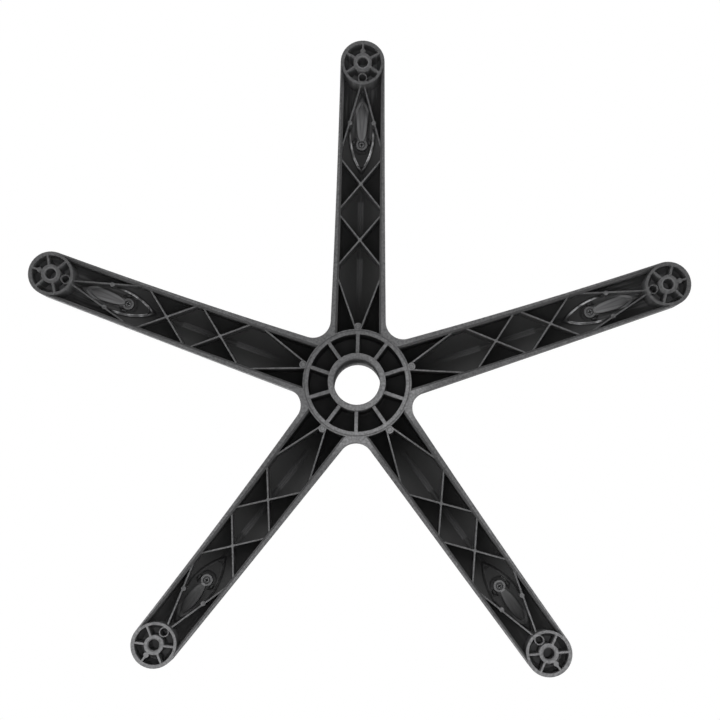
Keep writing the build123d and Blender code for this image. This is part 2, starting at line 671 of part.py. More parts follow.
# The window in the well's floor, round the hub side of the screw boss, with room for the hooks
with BuildPart() as window:
    with BuildSketch(MOUTH_PLANE):
        with Locations((SCREW_REACH, 0)):
            Circle(WINDOW_RADIUS)
            Circle(SCREW_BOSS_RADIUS, mode=Mode.SUBTRACT)
            Rectangle(
                PAD_HALF_LENGTH,
                2 * SCREW_BOSS_RADIUS,
                align=(Align.MIN, Align.CENTER),
                mode=Mode.SUBTRACT,
            )
        hook_middle = (hook_start + HOOK_LENGTH / 2, (hook_inner + hook_outer) / 2)
        for side in (-1, 1):
            with Locations((hook_middle[0], side * hook_middle[1])):
                Rectangle(
                    HOOK_LENGTH + 2 * HOOK_WINDOW_CLEARANCE,
                    HOOK_THICKNESS + 2 * HOOK_WINDOW_CLEARANCE,
                )
        add(pad_outline(0), mode=Mode.INTERSECT)
    extrude(amount=PRISM_HEIGHT)

# The seat of the pad, open at the top, with the screw's hole and counterbore
with BuildPart() as seat:
    with BuildSketch(MOUTH_PLANE):
        add(pad_outline(0))
    extrude(amount=PRISM_HEIGHT)
    split(bisect_by=FLOOR_PLANE, keep=Keep.TOP)
    with BuildSketch(Plane.XY.offset(screw_boss_end)):
        with Locations((SCREW_REACH, 0)):
            Circle(SCREW_SHANK_RADIUS + SHANK_CLEARANCE)
    extrude(amount=PAD_DEPTH + WELL_FLOOR)
    with BuildSketch(Plane.XY.offset(screw_boss_end)):
        with Locations((SCREW_REACH, 0)):
            Circle(SCREW_HEAD_RADIUS + SCREW_HEAD_CLEARANCE)
    extrude(amount=screw_seat - screw_boss_end)


def rim_height(x):
    """Height of an arm's rims at a distance from the hub's axis."""
    fall = RIM_HEIGHT + SOCKET_DROP
    radius = ((SOCKET_CIRCLE_RADIUS - ARCH_START) ** 2 + fall**2) / (2 * fall)
    return RIM_HEIGHT - radius + (radius**2 - (x - ARCH_START) ** 2) ** 0.5


def lowest_long_edge(part, spot):
    """The lowest long edge whose middle is near a place."""
    long_edges = part.edges().filter_by(lambda edge: edge.length > SOCKET_CIRCLE_RADIUS / 2)
    near = long_edges.filter_by(lambda edge: (edge @ 0.5 - spot).length < RIM_SPOT_MARGIN)
    return near.sort_by(lambda edge: (edge @ 0.5).Z)[0]


def flattest_face(part, rim_edge):
    """Of the two faces that meet at an edge, the one that is nearer to level."""
    pair = part.faces().filter_by(lambda face: any(edge.is_same(rim_edge) for edge in face.edges()))
    return pair.sort_by(lambda face: abs(face.normal_at(rim_edge @ 0.5).Z))[-1]


# The moulding: hub and arms, then everything that is cut out of them
rim_spot_x = (ARCH_START + SOCKET_CIRCLE_RADIUS) / 2 + RIM_SPOT_OFFSET
with BuildPart() as base_moulding:
    add(hub_cone.part)
    with PolarLocations(0, ARM_COUNT, FIRST_ARM_ANGLE):
        add(arm.part)
    add(hub_underside.part, mode=Mode.SUBTRACT)
    with PolarLocations(0, ARM_COUNT, FIRST_ARM_ANGLE):
        add(arch.part, mode=Mode.SUBTRACT)
    with PolarLocations(0, ARM_COUNT, FIRST_ARM_ANGLE):
        add(channel_mouth.part, mode=Mode.SUBTRACT)
    for number in range(ARM_COUNT):
        heading = FIRST_ARM_ANGLE + number * 360 / ARM_COUNT
        for side in (-1, 1):
            spot = Vector(rim_spot_x, side * channel_half_width(rim_spot_x), rim_height(rim_spot_x))
            rim_edge = lowest_long_edge(base_moulding, spot.rotate(Axis.Z, heading))
            rim_face = flattest_face(base_moulding, rim_edge)
            chamfer(rim_edge, RIM_BEVEL_WIDTH, RIM_BEVEL_DEPTH, reference=rim_face)
    with PolarLocations(0, ARM_COUNT, FIRST_ARM_ANGLE):
        add(cells.part, mode=Mode.SUBTRACT)
    add(hub_pockets.part, mode=Mode.SUBTRACT)
    add(bore.part, mode=Mode.SUBTRACT)
    with PolarLocations(0, ARM_COUNT, FIRST_ARM_ANGLE):
        add(boss_pockets.part, mode=Mode.SUBTRACT)
    with PolarLocations(0, ARM_COUNT, FIRST_ARM_ANGLE):
        add(well.part)
    with PolarLocations(0, ARM_COUNT, FIRST_ARM_ANGLE):
        add(window.part, mode=Mode.SUBTRACT)
        add(seat.part, mode=Mode.SUBTRACT)

base_moulding.part.label = "base_moulding"
export_step(base_moulding.part, "parts/base_moulding.step")

# A foot pad, with two hooks that pass through the window. Its top follows the arm's crest
pad_low_x = PAD_CENTRE_REACH - PAD_HALF_LENGTH
pad_high_x = PAD_CENTRE_REACH + PAD_HALF_LENGTH
pad_top_start = (pad_low_x, top_height(pad_low_x) + PAD_PROUD)
pad_top_middle = (PAD_CENTRE_REACH, top_height(PAD_CENTRE_REACH) + PAD_PROUD)
pad_top_end = (pad_high_x, top_height(pad_high_x) + PAD_PROUD)
with BuildPart() as foot_pad:
    with BuildSketch(MOUTH_PLANE):
        add(pad_outline(-PAD_CLEARANCE))
    extrude(amount=PRISM_HEIGHT)
    with BuildSketch(Plane.XZ):
        with BuildLine():
            Polyline(pad_top_start, (pad_low_x, -SOCKET_DROP), (pad_high_x, -SOCKET_DROP), pad_top_end)
            ThreePointArc(pad_top_start, pad_top_middle, pad_top_end)
        make_face()
    extrude(amount=PAD_HALF_WIDTH, both=True, mode=Mode.INTERSECT)
    split(bisect_by=FLOOR_PLANE, keep=Keep.TOP)
    hook_level = well_floor_under - HOOK_DROP
    with BuildSketch(Plane(origin=(hook_start, 0, 0), x_dir=(0, 1, 0), z_dir=(1, 0, 0))):
        with BuildLine():
            Polyline(
                (hook_inner, well_floor_top + PAD_DEPTH / 2),
                (hook_inner, hook_level - 2 * HOOK_CATCH),
                (hook_outer, hook_level - 2 * HOOK_CATCH),
                (hook_outer + HOOK_CATCH, hook_level),
                (hook_outer, hook_level),
                (hook_outer, well_floor_top + PAD_DEPTH / 2),
                close=True,
            )
        make_face()
        mirror(about=Plane.YZ)
    extrude(amount=HOOK_LENGTH)
    with BuildSketch(Plane.XY.offset(screw_seat)):
        with Locations((SCREW_REACH, 0)):
            Circle(SCREW_SHANK_RADIUS + SHANK_CLEARANCE)
    extrude(amount=well_floor_top - screw_seat + SCREW_GRIP + SHANK_CLEARANCE, mode=Mode.SUBTRACT)

# A pan-head screw with a cross recess, pointing up
with BuildPart() as pad_screw:
    with BuildSketch(Plane.XZ):
        with BuildLine():
            Polyline(
                (0, screw_seat - SCREW_HEAD_HEIGHT),
                (0, well_floor_top + SCREW_GRIP),
                (SCREW_SHANK_RADIUS * 0.5, well_floor_top + SCREW_GRIP),
                (SCREW_SHANK_RADIUS, well_floor_top + SCREW_GRIP - SCREW_SHANK_RADIUS),
                (SCREW_SHANK_RADIUS, screw_seat),
                (SCREW_HEAD_RADIUS, screw_seat),
                (SCREW_HEAD_RADIUS, screw_seat - SCREW_HEAD_SIDE),
                (SCREW_HEAD_FLAT_RADIUS, screw_seat - SCREW_HEAD_HEIGHT),
                close=True,
            )
        make_face()
    revolve(axis=Axis.Z)
    with BuildSketch(Plane.XY.offset(screw_seat - SCREW_HEAD_HEIGHT)):
        Rectangle(SCREW_CROSS[0], SCREW_CROSS[1])
        Rectangle(SCREW_CROSS[1], SCREW_CROSS[0])
    extrude(amount=SCREW_CROSS[2], mode=Mode.SUBTRACT)

for number in range(ARM_COUNT):
    heading = FIRST_ARM_ANGLE + number * 360 / ARM_COUNT
    turn = Location((0, 0, 0), (0, 0, heading))
    placed_pad = turn * foot_pad.part
    placed_pad.label = f"foot_pad_{number + 1}"
    export_step(placed_pad, f"parts/foot_pad_{number + 1}.step")
    placed_screw = turn * Location((SCREW_REACH, 0, 0)) * pad_screw.part
    placed_screw.label = f"pad_screw_{number + 1}"
    export_step(placed_screw, f"parts/pad_screw_{number + 1}.step")
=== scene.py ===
# %% [markdown]
# # A chair base, seen from below
#
# The model is the underside of a five-arm base from an office chair. It is moulded in one piece from black
# nylon that is filled with glass fibre, and a small steel screw holds a foot pad on the top of each arm.
# The solids are already exact, so this scene gives them their finishes, their light and their camera.

from math import cos, radians, sin

import bpy
from mathutils import Euler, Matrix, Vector


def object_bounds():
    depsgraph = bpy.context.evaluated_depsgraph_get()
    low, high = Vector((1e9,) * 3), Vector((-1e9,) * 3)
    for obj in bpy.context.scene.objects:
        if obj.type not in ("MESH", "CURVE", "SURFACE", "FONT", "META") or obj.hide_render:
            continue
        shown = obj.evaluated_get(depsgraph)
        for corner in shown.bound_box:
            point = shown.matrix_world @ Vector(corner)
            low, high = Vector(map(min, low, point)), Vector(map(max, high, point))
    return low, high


MM = 0.001
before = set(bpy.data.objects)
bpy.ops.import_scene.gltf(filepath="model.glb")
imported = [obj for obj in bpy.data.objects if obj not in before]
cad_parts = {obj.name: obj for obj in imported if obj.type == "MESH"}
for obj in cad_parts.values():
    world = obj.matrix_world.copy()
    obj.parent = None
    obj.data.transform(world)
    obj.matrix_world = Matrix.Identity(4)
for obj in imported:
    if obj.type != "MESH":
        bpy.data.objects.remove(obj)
bpy.ops.object.select_all(action="DESELECT")
cad_low, cad_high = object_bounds()
print("nodes:", ", ".join(sorted(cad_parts)))

# %% [markdown]
# ## The camera
#
# The base is seen from straight below, by a camera about 1.3 m away that is tipped by a few degrees. The
# place, the turn and the lens come from fitting the five caster sockets and the bore to the picture. A
# perspective camera is needed, because the hub's walls show on one side of the bore and not on the other.

# %% Camera
CAMERA_PLACE = Vector((-22.7, -133.3, -1295.3)) * MM
CAMERA_TURN = Euler([radians(angle) for angle in (-173.131, -0.742, 178.873)])
CAMERA_LENS = 63.74

bpy.ops.object.camera_add(location=CAMERA_PLACE, rotation=CAMERA_TURN)
camera = bpy.context.object
camera.data.lens = CAMERA_LENS
camera.data.sensor_width = 36
camera.data.clip_start = 0.05
bpy.context.scene.camera = camera

view = CAMERA_TURN.to_matrix()
TO_RIGHT, TO_TOP, TO_CAMERA = (view @ Vector(axis) for axis in ((1, 0, 0), (0, 1, 0), (0, 0, 1)))
print("camera looks along", [round(value, 3) for value in -TO_CAMERA])

# %% [markdown]
# ## The light
#
# The rims of the arms are pale and the floors of their channels are almost black, although both face the
# camera and are of one plastic. Light that comes in low from all sides does this: it reaches the rims, but
# the side walls keep it out of the channels. So a ring of soft lamps stands wide round the camera's axis,
# a little stronger on the left. A soft fill on the camera's own axis is kept out of reflections, because
# level plastic would mirror it straight back. Three more lamps stand over the base, for views from above.

# %% Lamps
CENTRE = Vector((0, 0, 10)) * MM
LAMP_DISTANCE = 2.0
RING_LAMPS = 8
RING_OFF_AXIS = 66
RING_SIZE = 0.7
RING_WATTS = 5
MORE_FROM_LEFT = 2.5
FILL_SIZE = 1.2
FILL_WATTS = 14
LAMPS_ABOVE = {
    "key_above": (Vector((0.8, -0.9, 0.8)), 1.0, 60),
    "fill_above": (Vector((-1.2, -0.5, 0.8)), 1.2, 30),
    "back_above": (Vector((0.2, 1.2, 0.8)), 1.0, 40),
}


def add_lamp(name, direction, size, watts):
    """A square soft lamp that faces the middle of the base."""
    place = CENTRE + direction.normalized() * LAMP_DISTANCE
    bpy.ops.object.light_add(type="AREA", location=place)
    lamp = bpy.context.object
    lamp.name = name
    lamp.rotation_euler = direction.to_track_quat("Z", "Y").to_euler()
    lamp.data.shape = "SQUARE"
    lamp.data.size = size
    lamp.data.energy = watts
    return lamp


def beside_camera(around, off_axis):
    """A direction by its angle round the picture, from its right, and its angle off the camera's axis."""
    across = TO_RIGHT * cos(radians(around)) + TO_TOP * sin(radians(around))
    return TO_CAMERA * cos(radians(off_axis)) + across * sin(radians(off_axis))


for number in range(RING_LAMPS):
    around = 360 * number / RING_LAMPS
    from_left = (1 - cos(radians(around))) / 2
    watts = RING_WATTS + MORE_FROM_LEFT * from_left
    add_lamp(f"ring_{number}", beside_camera(around, RING_OFF_AXIS), RING_SIZE, watts)

front_fill = add_lamp("front_fill", TO_CAMERA, FILL_SIZE, FILL_WATTS)
front_fill.visible_glossy = False

for name, (direction, size, watts) in LAMPS_ABOVE.items():
    add_lamp(name, direction, size, watts)

# %% [markdown]
# ## Sums in shaders
#
# The finishes are sums of distances and noises, which would be a maze of nodes if they were joined by hand.
# Here a wire stands for one value in a shader, so that a sum is written as Python writes it, and each step
# of it becomes a node. Its fades make masks, which are 1 on one part of a surface and 0 on the rest.


# %% Shader sums
class Wire:
    """A value in a shader. Sums written on it add Math nodes to its node tree."""

    def __init__(self, tree, socket):
        self.tree = tree
        self.socket = socket

    def then(self, operation, *others):
        values = dict(enumerate((self, *others)))
        return add_node(self.tree, "ShaderNodeMath", {"operation": operation}, values)

    def __add__(self, other):
        return self.then("ADD", other)

    def __sub__(self, other):
        return self.then("SUBTRACT", other)

    def __mul__(self, other):
        return self.then("MULTIPLY", other)

    def __truediv__(self, other):
        return self.then("DIVIDE", other)

    def __rsub__(self, other):
        return self * -1 + other

    __radd__ = __add__
    __rmul__ = __mul__

    def or_more(self, other):
        """The larger of two values."""
        return self.then("MAXIMUM", other)

    def or_less(self, other):
        """The smaller of two values."""
        return self.then("MINIMUM", other)

    def fade(self, start, end):
        """Goes smoothly from 0 at the start to 1 at the end."""
        settings = {"interpolation_type": "SMOOTHSTEP"}
        values = {"Value": self, "From Min": start, "From Max": end}
        return add_node(self.tree, "ShaderNodeMapRange", settings, values)

    def fade_mm(self, start, end):
        """The same fade, between two distances in millimetres."""
        return self.fade(start * MM, end * MM)

    def near_mm(self, middle, outer, inner):
        """1 within the inner distance of a middle, fading to 0 at the outer distance, in millimetres."""
        return (self - middle * MM).then("ABSOLUTE").fade_mm(outer, inner)

    def band_mm(self, start, full, last, end):
        """1 between the middle two of four distances, fading to 0 at the outer two, in millimetres."""
        return self.fade_mm(start, full) * self.fade_mm(end, last)

    def towards(self, target, mask):
        """This value where the mask is 0, and the target where it is 1."""
        return self + mask * (target - self)


def add_node(tree, kind, settings=None, values=None, output=0):
    """A node with its settings made first and then its sockets filled. Returns one of its outputs."""
    node = tree.nodes.new(kind)
    for name, setting in (settings or {}).items():
        setattr(node, name, setting)
    for name, value in (values or {}).items():
        socket = node.inputs[name]
        if isinstance(value, Wire):
            tree.links.new(value.socket, socket)
        else:
            socket.default_value = value
    return Wire(tree, node.outputs[output]) if node.outputs else None


def vector_step(tree, operation, values, output=0):
    """One step of vector arithmetic."""
    return add_node(tree, "ShaderNodeVectorMath", {"operation": operation}, values, output)


# %% [markdown]
# ## The backdrop
#
# The picture's background is plain white. White walls round the base would light it from all sides, so the
# world is white only to the camera and in reflections, and gives little light of its own. In reflections it
# is dark straight below and straight above, and dim over the rest of the upper half. This keeps level
# plastic black, while slanted edges still find the white.

# %% World
WORLD_LIGHT = 0.08
DARK_BELOW = (34, 20)
DARK_ABOVE = (42, 28)
DIM_ABOVE = 0.7
DIM_FROM = (0.0, 0.15)

world = bpy.data.worlds.new("white_studio")
bpy.context.scene.world = world
world.use_nodes = True
tree = world.node_tree
tree.nodes.clear()


def near_vertical(rise, angles):
    """Fades in between two angles from the vertical, by the vertical part of a direction."""
    outer, inner = angles
    return rise.fade(cos(radians(outer)), cos(radians(inner)))


seen = add_node(tree, "ShaderNodeLightPath", output="Is Camera Ray")
mirrored = add_node(tree, "ShaderNodeLightPath", output="Is Glossy Ray")
through = add_node(tree, "ShaderNodeLightPath", output="Is Transmission Ray")
way = add_node(tree, "ShaderNodeTexCoord", output="Generated")
downwards = add_node(tree, "ShaderNodeSeparateXYZ", values={0: way}, output="Z") * -1
upwards = downwards * -1
dark_below = near_vertical(downwards, DARK_BELOW)
dark_above = near_vertical(upwards, DARK_ABOVE).or_more(upwards.fade(*DIM_FROM) * DIM_ABOVE)
shown = (seen + mirrored * (1 - dark_below - dark_above) + through).or_less(1)
strength = shown * (1 - WORLD_LIGHT) + WORLD_LIGHT
sky = add_node(tree, "ShaderNodeBackground", values={"Color": (1, 1, 1, 1), "Strength": strength})
add_node(tree, "ShaderNodeOutputWorld", values={"Surface": sky})
print("world has", len(tree.nodes), "nodes")

# %% [markdown]
# ## The floor
#
# A pale floor lies just under the caster sockets, for the views from above. A solid one would hide the whole
# underside from the camera, so this one shows only from above. Seen from below it lets the camera and all
# light through. It also fades out some way round the base, so that its far edge never shows.

# %% Floor
FLOOR_LEVEL = cad_low[2] - 0.2 * MM
FLOOR_SIZE = 8
FLOOR_FADE = (1.1, 0.45)
FLOOR_COLOUR = (0.85, 0.85, 0.85, 1)

bpy.ops.mesh.primitive_plane_add(size=FLOOR_SIZE, location=(0, 0, FLOOR_LEVEL))
floor = bpy.context.object
floor.name = "studio_floor"
paper = bpy.data.materials.new("studio_paper")
paper.use_nodes = True
tree = paper.node_tree
tree.nodes.clear()
seen = add_node(tree, "ShaderNodeLightPath", output="Is Camera Ray")
behind = add_node(tree, "ShaderNodeNewGeometry", output="Backfacing")
white = add_node(tree, "ShaderNodeBsdfDiffuse", values={"Color": FLOOR_COLOUR})
clear = add_node(tree, "ShaderNodeBsdfTransparent")
spot = add_node(tree, "ShaderNodeTexCoord", output="Object")
away = vector_step(tree, "LENGTH", {0: spot}, "Value")
shown = seen * (1 - behind) * away.fade(*FLOOR_FADE)
both = add_node(tree, "ShaderNodeMixShader", values={0: shown, 1: clear, 2: white})
add_node(tree, "ShaderNodeOutputMaterial", values={"Surface": both})
floor.data.materials.append(paper)
print("floor at", round(FLOOR_LEVEL, 4), "m")

# %% [markdown]
# ## Where a point lies on the base
#
# All five arms are alike, so each finish is worked out once, in the coordinates of an arm. The angle round
# the hub is wrapped to one fifth of a turn. From it come the distance out along the arm, the distance
# across from its middle line, and the height over the arched rims.

# %% Places on an arm
ARM_TURN = radians(72)
ARM_1 = radians(90)
RIM_LEVEL = 12 * MM
ARCH_START = 80 * MM
ARCH_RADIUS = 733.8 * MM


def length(first, second):
    """The length of a line by its two sides."""
    return (first * first + second * second).then("SQRT")


def arm_places(tree):
    """A point's place, and its distances from the axis, along its arm, across it and up from its rims."""
    place = add_node(tree, "ShaderNodeTexCoord", output="Object")
    x, y, z = (add_node(tree, "ShaderNodeSeparateXYZ", values={0: place}, output=axis) for axis in "XYZ")
    reach = length(x, y)
    turn = (y.then("ARCTAN2", x) - ARM_1).then("WRAP", ARM_TURN / 2, -ARM_TURN / 2)
    along = reach * turn.then("COSINE")
    across = reach * turn.then("SINE")
    run = (along - ARCH_START).or_more(0)
    fall = ARCH_RADIUS - (ARCH_RADIUS**2 - run * run).then("SQRT")
    return place, reach, along, across, z - RIM_LEVEL + fall


# %% [markdown]
# ## How a finish is put together
#
# Each finish is an almost neutral grey, a roughness and a height for its bump. The heights are real ones in
# metres, so that a bump looks as deep as it is.

# %% Making a finish
BLUE_SHARE = 1.02


def new_finish(name):
    """A material with a Principled shader. Returns the material and its node tree."""
    material = bpy.data.materials.new(name)
    material.use_nodes = True
    return material, material.node_tree


def fill_finish(material, grey, roughness, height, edges=None):
    """Wires up a material's colour, roughness and bump, on rounded edges if given. Returns its shader."""
    tree = material.node_tree
    shader = tree.nodes["Principled BSDF"]
    colour = add_node(tree, "ShaderNodeCombineColor", values={0: grey, 1: grey, 2: grey * BLUE_SHARE})
    relief = {"Height": height, "Strength": 1.0, "Distance": 1.0}
    if edges:
        relief["Normal"] = edges
    bump = add_node(tree, "ShaderNodeBump", values=relief)
    for name, wire in {"Base Color": colour, "Roughness": roughness, "Normal": bump}.items():
        tree.links.new(wire.socket, shader.inputs[name])
    print(material.name, "has", len(tree.nodes), "nodes")
    return shader


def noise(tree, place, scale, detail):
    """A noise that runs from 0 to 1, and is mostly near 0.5."""
    return add_node(tree, "ShaderNodeTexNoise", values={"Vector": place, "Scale": scale, "Detail": detail})


# %% [markdown]
# ## The nylon
#
# Glass-filled nylon is never quite black. The faces inside the channels come off a polished core, and are
# dark and rather glossy. The outside has a fine grain. The rims and the ribs' edges are given a paler grey,
# and are duller. The moulding is one solid with one material, so the finish first finds out from a point's
# place which of these surfaces it lies on. Each fade below has two distances in millimetres: its mask is 0
# at the first and 1 at the second.

# %% Nylon: outside and underside
SOCKET_REACH = 327.5 * MM
CHANNEL_AT_AXIS = 23.48 * MM
CHANNEL_TAPER = 0.01276
WALL_FADE = (0.5, 1.5)
RING_FADE = (54, 56)
BOSS_FADE = (20.8, 21.4)
TIP_FADE = (-2, 2)
FACING_UP = (0.0, 0.3)
FACING_DOWN = (0.35, 0.85)

nylon, tree = new_finish("black_nylon")
place, reach, along, across, above_rim = arm_places(tree)
side = across.then("ABSOLUTE")
from_socket = along - SOCKET_REACH
socket_reach = length(from_socket, across)
normal = add_node(tree, "ShaderNodeNewGeometry", output="Normal")
facing_up = add_node(tree, "ShaderNodeSeparateXYZ", values={0: normal}, output="Z")
facing_down = (facing_up * -1).fade(*FACING_DOWN)

channel = CHANNEL_AT_AXIS - along * CHANNEL_TAPER
beyond_wall = (side - channel).fade_mm(*WALL_FADE) * reach.fade_mm(*RING_FADE)
beyond_tip = socket_reach.fade_mm(*BOSS_FADE) * from_socket.fade_mm(*TIP_FADE)
outside = beyond_wall.or_more(beyond_tip).or_more(facing_up.fade(*FACING_UP))
underside = 1 - outside

# %% Nylon: rims, bore, pockets and cells
RIM_FACE_FADE = (12, 8)
MOUTH_FADE = (6.2, 7.0)
BORE_FADE = (26, 25.5)
HUB_POCKET_FADE = (53, 51)
BOSS_POCKET_FADE = (19.6, 19.2)
BOSS_WALL_FADE = (23.5, 22.0)
CROSS_REACHES = (150.3 * MM, 208.4 * MM)
CROSS_SLOPE = 0.839
ROOT_V_SLOPE = 0.39
ROOT_V_OFFSET = 20.9 * MM
ROOT_V_FADE = (112, 108)
TIP_V_SLOPE = 0.282
TIP_V_OFFSET = 88.6 * MM
TIP_V_FADE = (240, 246)
CELL_FADE = (-0.5, 0.5)
UPPER_FADE = (-140, 30)

# Rims and ribs' edges get the paler rim grey, but the bevelled mouths of the caster sockets don't
rim_faces = facing_down * above_rim.fade_mm(*RIM_FACE_FADE) * socket_reach.fade_mm(*MOUTH_FADE)

bore = reach.fade_mm(*BORE_FADE)
hub_pocket = reach.fade_mm(*HUB_POCKET_FADE) * underside
boss_pocket = socket_reach.fade_mm(*BOSS_POCKET_FADE) * underside
pocket = hub_pocket.or_more(boss_pocket)
boss_wall = socket_reach.fade_mm(*BOSS_WALL_FADE) * (1 - facing_down) * (1 - boss_pocket) * underside

# Small cells beside the two crossings of ribs, beside the V at the root and beside the V at the tip
inner_cross, outer_cross = (side - (along - cross).then("ABSOLUTE") * CROSS_SLOPE for cross in CROSS_REACHES)
beside_root = (side - along * ROOT_V_SLOPE + ROOT_V_OFFSET) * along.fade_mm(*ROOT_V_FADE)
beside_tip = (side + along * TIP_V_SLOPE - TIP_V_OFFSET) * along.fade_mm(*TIP_V_FADE)
cell = inner_cross.or_more(outer_cross).or_more(beside_root).or_more(beside_tip).fade_mm(*CELL_FADE)
cell = cell * (1 - pocket) * underside

# The two arms lowest in the camera's view get painted light, as if lit from below, which makes their rims
# and screw bosses paler; their painted highlights on the wells and tongues, and their streaks, are fainter
upper = vector_step(tree, "DOT_PRODUCT", {0: place, 1: TO_TOP}, "Value").fade_mm(*UPPER_FADE)
lower = 1 - upper

# %% [markdown]
# ### Bead, well and tongue
#
# A low bead runs down the middle of each channel's ceiling, where the melt was led to the tips. It shines
# along both its edges, most of all just short of each crossing. Further out, the pad's well and its tongue
# stand out of the ceiling, and the well's edge catches a broken line of light. The bead, the foot of the
# well and the roundness of the tongue are bumps, because none of them is more than 1.2 mm high. The bright
# lines along the bead and the well, and the pale shape on the tongue, are painted highlights as well as lit.

# %% Nylon: bead, well and tongue
CEILING_FADE = (8, 11)
BEAD_BAND = (76, 100, 226, 232)
BEAD_FADE = (3.4, 0.8)
BEAD_LINE = (2.1, 1.0, 0.0)
BEAD_GLOW_FADE = (3.6, 2.6)
INNER_SHINE_BAND = (84, 128, 133, 136)
OUTER_SHINE_BAND = (150, 190, 192, 195)
WELL_REACH = 262.5 * MM
WELL_HALF_WIDTH = 12.2 * MM
WELL_SIDE_RADIUS = 64.7 * MM
WELL_FOOT_FADE = (2.5, 0.0)
WELL_LINE = (0.0, 1.3, 0.5)
WELL_BAND = (226, 232, 258, 266)
WELL_LEVEL_FADE = (8, 9)
TONGUE_REACH = 272.75 * MM
TONGUE_HALF_WIDTH = 6.2 * MM
TONGUE_SIDE_RADIUS = 39.5 * MM
TONGUE_FADE = (0.3, 0.0)


def outside_lens(along, side, middle, half_width, radius):
    """Distance outwards from the side of a lens-shaped outline, whose two sides are arcs of one radius."""
    return length(along - middle, side + (radius - half_width)) - radius


ceiling = above_rim.fade_mm(*CEILING_FADE) * facing_down
bead_line = ceiling * along.band_mm(*BEAD_BAND)
bead = side.fade_mm(*BEAD_FADE) * bead_line
# Painted highlights along both edges of the bead, strongest just short of each crossing
bead_highlight = side.near_mm(*BEAD_LINE) * 0.6 + side.fade_mm(*BEAD_GLOW_FADE) * 0.4
short_of_cross = along.band_mm(*OUTER_SHINE_BAND).or_more(along.band_mm(*INNER_SHINE_BAND))
bead_highlight = bead_highlight * (short_of_cross * 0.8 + 0.2)

off_well = outside_lens(along, side, WELL_REACH, WELL_HALF_WIDTH, WELL_SIDE_RADIUS)
well_foot = off_well.fade_mm(*WELL_FOOT_FADE) * ceiling
# A painted highlight, a broken bright line along the well's edge
well_edge_highlight = off_well.near_mm(*WELL_LINE) * along.band_mm(*WELL_BAND) * facing_down
well_edge_highlight = well_edge_highlight * above_rim.fade_mm(*WELL_LEVEL_FADE) * (upper * 0.96 + 0.04)

off_tongue = outside_lens(along, side, TONGUE_REACH, TONGUE_HALF_WIDTH, TONGUE_SIDE_RADIUS)
tongue_keel = off_tongue.fade_mm(*TONGUE_FADE) * (1 - across * across / TONGUE_HALF_WIDTH**2)

# %% [markdown]
# The tongue carries a painted highlight with an outline of its own. It starts 4.3 mm wide on each side of
# the middle, widens slowly outwards and then runs to a point. It is brightest a little inside its edge.

# %% Nylon: the tongue's painted highlight
PATCH_BAND = (254, 257, 284, 303)
PATCH_START = 256 * MM
PATCH_START_WIDTH = 4.3 * MM
PATCH_WIDENING = 0.09
PATCH_END = 303 * MM
PATCH_NARROWING = 0.42
PATCH_FADE = (-0.3, 0.7)
PATCH_FLANK = (1.7, 2.4, 0.4)

# The painted highlight on the tongue
widening = (along - PATCH_START) * PATCH_WIDENING + PATCH_START_WIDTH
narrowing = (PATCH_END - along) * PATCH_NARROWING
in_tongue_highlight = widening.or_less(narrowing) - side
tongue_highlight_flank = in_tongue_highlight.near_mm(*PATCH_FLANK) * 0.5 + 0.5
tongue_highlight = in_tongue_highlight.fade_mm(*PATCH_FADE) * along.band_mm(*PATCH_BAND) * facing_down * tongue_highlight_flank
tongue_highlight = tongue_highlight * (upper * 0.8 + 0.2)

# %% [markdown]
# ### Noises
#
# The noises are the grain of the glass fibre, soft clouds, the speckle of the rims, the breaks in the
# painted highlight along the well's edge, and the streaks that the mould leaves on the walls towards the
# tips.

# %% Nylon: noises
GRAIN_SCALE = 1500.0
CLOUD_SCALE = 45.0
SPECKLE_SCALE = 420.0
BREAK_SCALE = 120.0
BREAK_SHAPE = (1.0, 1.0, 0.3)
BREAK_CONTRAST = (0.35, 0.62)
STREAKS_ACROSS = 260
STREAKS_ALONG = 22
STREAK_CONTRAST = (0.48, 0.68)
STREAK_FADE = (240, 285)

grain = noise(tree, place, GRAIN_SCALE, 2.0)
clouds = noise(tree, place, CLOUD_SCALE, 4.0)
speckle = noise(tree, place, SPECKLE_SCALE, 5.0)
# Breaks in the painted highlight along the well's edge
break_place = vector_step(tree, "MULTIPLY", {0: place, 1: BREAK_SHAPE})
highlight_breaks = noise(tree, break_place, BREAK_SCALE, 2.0).fade(*BREAK_CONTRAST) * 0.8 + 0.2
streak_sides = {0: across * STREAKS_ACROSS, 1: along * STREAKS_ALONG, 2: above_rim * STREAKS_ALONG}
streak_place = add_node(tree, "ShaderNodeCombineXYZ", values=streak_sides)
streaks = noise(tree, streak_place, 1.0, 2.0).fade(*STREAK_CONTRAST) * (upper * 2.4 + 0.6) + 0.35
streaks = along.fade_mm(*STREAK_FADE) * underside * (1 - boss_pocket) * streaks

# %% [markdown]
# ### Colour
#
# The greys are values of the base colour, from 0 for black to 1 for white. Each surface's grey is laid over
# the ones before it. Painted light makes the rims palest round the hub, most on its lower right, and on the
# two lower arms.

